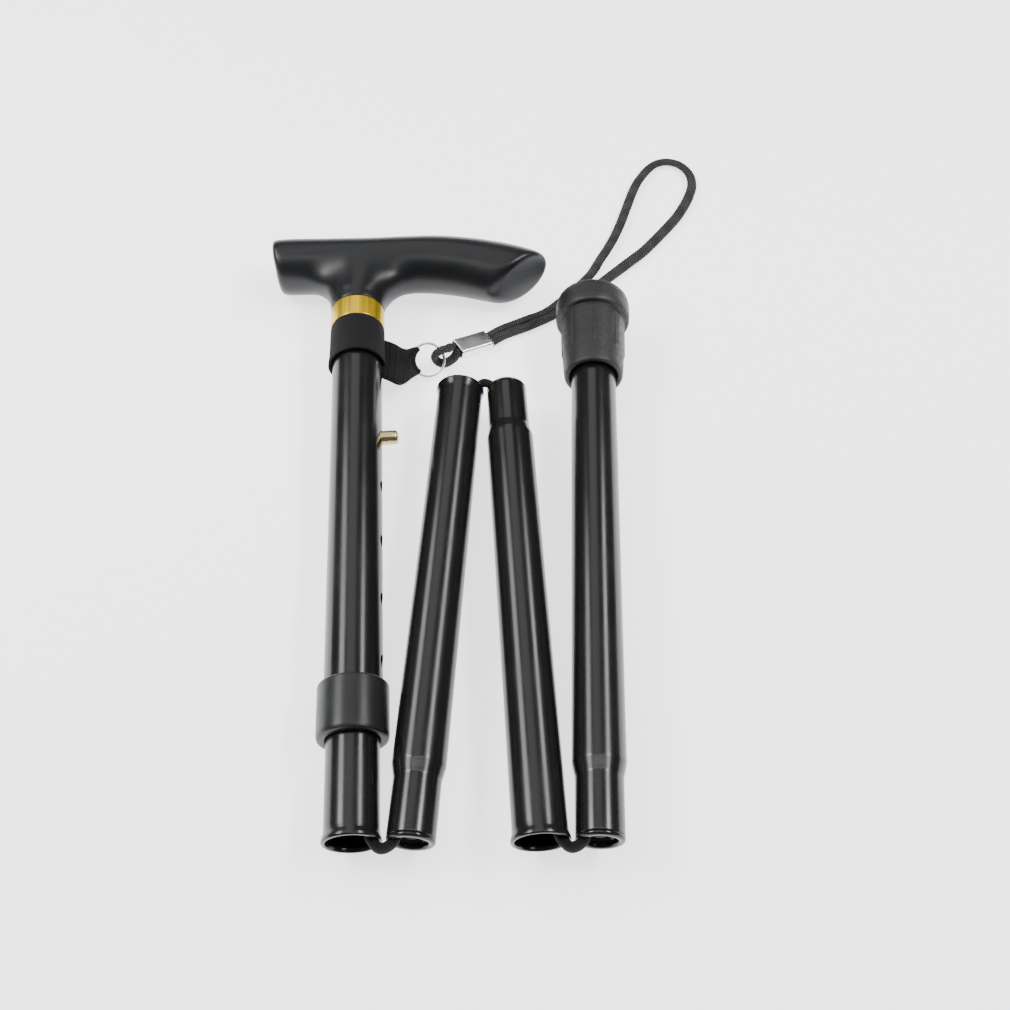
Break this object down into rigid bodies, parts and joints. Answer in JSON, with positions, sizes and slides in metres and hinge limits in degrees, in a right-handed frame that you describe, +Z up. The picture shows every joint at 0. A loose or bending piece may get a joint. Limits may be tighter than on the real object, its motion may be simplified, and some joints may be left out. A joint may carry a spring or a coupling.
{
  "type": "folding walking cane",
  "caption": "Black folding walking cane, folded zig-zag, with T-shaped handle, height-adjustable stem, locking collar, elastic-linked tube sections, rubber ferrule and wrist lanyard.",
  "frame": {"origin": "middle of the folded cane's footprint, on the surface it lies on, leaving out the lanyard cord and its crimp", "axes": "+Y runs up the folded stem towards the handle, +X towards the handle's long side and the ferrule, +Z up from the surface"},
  "size_m": [0.2065, 0.3697, 0.033],
  "materials": {
    "tube_black": "gloss black enamel",
    "handle_black": "satin moulded",
    "gold": "gold anodised, turned",
    "collar_grey": "satin moulded",
    "plastic_black": "moulded",
    "plastic_grey": "moulded",
    "rubber_black": "matte moulded",
    "knit_black": "ribbed knit elastic",
    "braid_black": "round braid",
    "elastic_black": "covered elastic",
    "nickel": "nickel plated",
    "steel": "bright",
    "brass": "bright brass"
  },
  "bodies": {
    "stem": {"handle_grip": "handle_black", "stem_plug": "plastic_grey", "handle_screw": "steel", "trim_ring": "gold", "outer_tube": "tube_black", "collet": "plastic_black", "strap_band": "knit_black", "strap_tab": "knit_black", "lanyard_cord": "braid_black", "lanyard_crimp": "nickel"},
    "sliding_tube": {"inner_tube": "tube_black", "button_spring": "steel", "upper_cord_anchor": "plastic_grey", "shock_cord_1": "elastic_black"},
    "snap_button": {"snap_button": "brass"},
    "locking_collar": {"locking_collar": "collar_grey"},
    "split_ring": {"split_ring": "nickel"},
    "fold_link_1": {"shock_bend_1": "elastic_black"},
    "section_2": {"tube_2": "tube_black", "neck_bush_2": "plastic_black", "shock_cord_2": "elastic_black"},
    "fold_link_2": {"shock_bend_2": "elastic_black"},
    "section_3": {"tube_3": "tube_black", "neck_bush_3": "plastic_black", "shock_cord_3": "elastic_black"},
    "fold_link_3": {"shock_bend_3": "elastic_black"},
    "section_4": {"tube_4": "tube_black", "neck_bush_4": "plastic_black", "shock_cord_4": "elastic_black", "lower_cord_anchor": "plastic_grey", "ferrule": "rubber_black", "ferrule_washer": "steel"}
  },
  "joints": [
    {"name": "height_slide", "type": "slide", "parent": "stem", "child": "sliding_tube", "axis": [0.0647, -0.9979, -0.0067], "range_m": [0, 0.104], "deforming": ["snap_button", "button_spring"]},
    {"name": "button_press", "type": "slide", "parent": "sliding_tube", "child": "snap_button", "axis": [-0.9976, -0.0645, -0.024], "range_m": [0, 0.008], "stiffness_N_per_m": 900, "springref_m": -0.002, "deforming": ["button_spring"]},
    {"name": "collar_twist", "type": "hinge", "parent": "stem", "child": "locking_collar", "pos_m": [-0.02711, -0.09425, 0.01276], "axis": [-0.0647, 0.9979, 0.0067], "range_deg": [0, 180]},
    {"name": "ring_spin", "type": "hinge", "parent": "stem", "child": "split_ring", "pos_m": [-0.00775, 0.07985, 0.0066], "axis": [0, -0.7071, 0.7071], "continuous": true},
    {"name": "unfold_1", "type": "hinge", "parent": "sliding_tube", "child": "fold_link_1", "pos_m": [-0.01434, -0.14028, 0.01268], "axis": [0.0236, 0.0082, -0.9997], "range_deg": [0, 172.7], "deforming": ["shock_bend_1"]},
    {"name": "unfold_2", "type": "hinge", "parent": "section_2", "child": "fold_link_2", "pos_m": [0.01753, 0.05565, 0.01504], "axis": [-0.0236, -0.0082, 0.9997], "range_deg": [0, 173.11], "deforming": ["shock_bend_2"]},
    {"name": "unfold_3", "type": "hinge", "parent": "section_3", "child": "fold_link_3", "pos_m": [0.04844, -0.14046, 0.01416], "axis": [0.0236, 0.0082, -0.9997], "range_deg": [0, 174.81], "deforming": ["shock_bend_3"]},
    {"name": "seat_1", "type": "slide", "parent": "fold_link_1", "child": "section_2", "axis": [-0.0626, -0.998, -0.0097], "range_m": [0, 0.023], "deforming": ["shock_bend_1", "shock_cord_1", "shock_cord_2"]},
    {"name": "seat_2", "type": "slide", "parent": "fold_link_2", "child": "section_3", "axis": [-0.0577, 0.9983, 0.0068], "range_m": [0, 0.023], "deforming": ["shock_bend_2", "shock_cord_2", "shock_cord_3"]},
    {"name": "seat_3", "type": "slide", "parent": "fold_link_3", "child": "section_4", "axis": [-0.033, -0.9994, -0.009], "range_m": [0, 0.023], "deforming": ["shock_bend_3", "shock_cord_3", "shock_cord_4"]}
  ],
  "couplings": [
    {"joint": "unfold_2", "follows": "unfold_1", "ratio": 1.0023},
    {"joint": "unfold_3", "follows": "unfold_1", "ratio": 1.0122},
    {"joint": "seat_2", "follows": "seat_1", "ratio": 1},
    {"joint": "seat_3", "follows": "seat_1", "ratio": 1}
  ]
}
